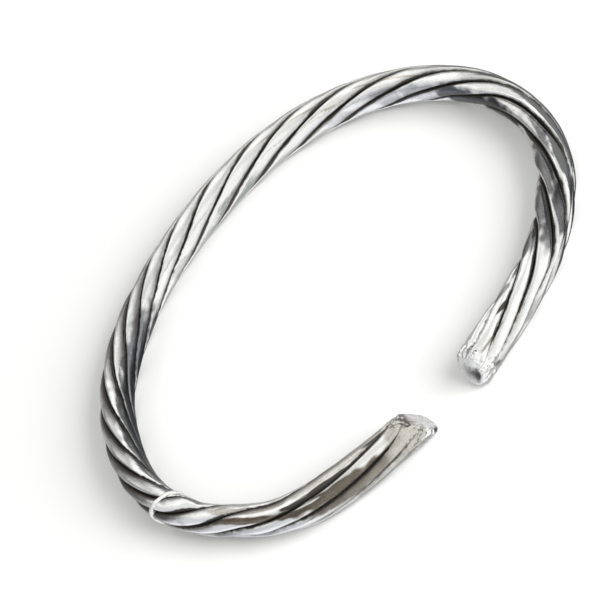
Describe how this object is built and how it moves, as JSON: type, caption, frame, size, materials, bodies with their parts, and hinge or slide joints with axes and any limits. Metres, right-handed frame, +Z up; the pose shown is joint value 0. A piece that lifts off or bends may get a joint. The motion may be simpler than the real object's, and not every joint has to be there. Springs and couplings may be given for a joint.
{
  "type": "twisted wire bangle",
  "caption": "Open cuff bangle of silver wires twisted to the left into one oval bar, soldered solid and rounded at both ends.",
  "frame": {"origin": "on the surface that the bangle lies on, below the middle of its outline", "axes": "+Z up through the wrist opening, the opening between the ends toward -Y, +X toward the right side"},
  "size_m": [0.0688, 0.058, 0.0051],
  "materials": {
    "silver": "polished silver, worn, with blackened grooves",
    "solder": "polished silver solder"
  },
  "bodies": {
    "root": {"wire_1": "silver", "wire_2": "silver", "wire_3": "silver", "wire_4": "silver", "wire_5": "silver", "wire_6": "silver", "wire_7": "silver", "left_end": "solder", "right_end": "solder", "solder_seam": "solder"}
  },
  "joints": []
}
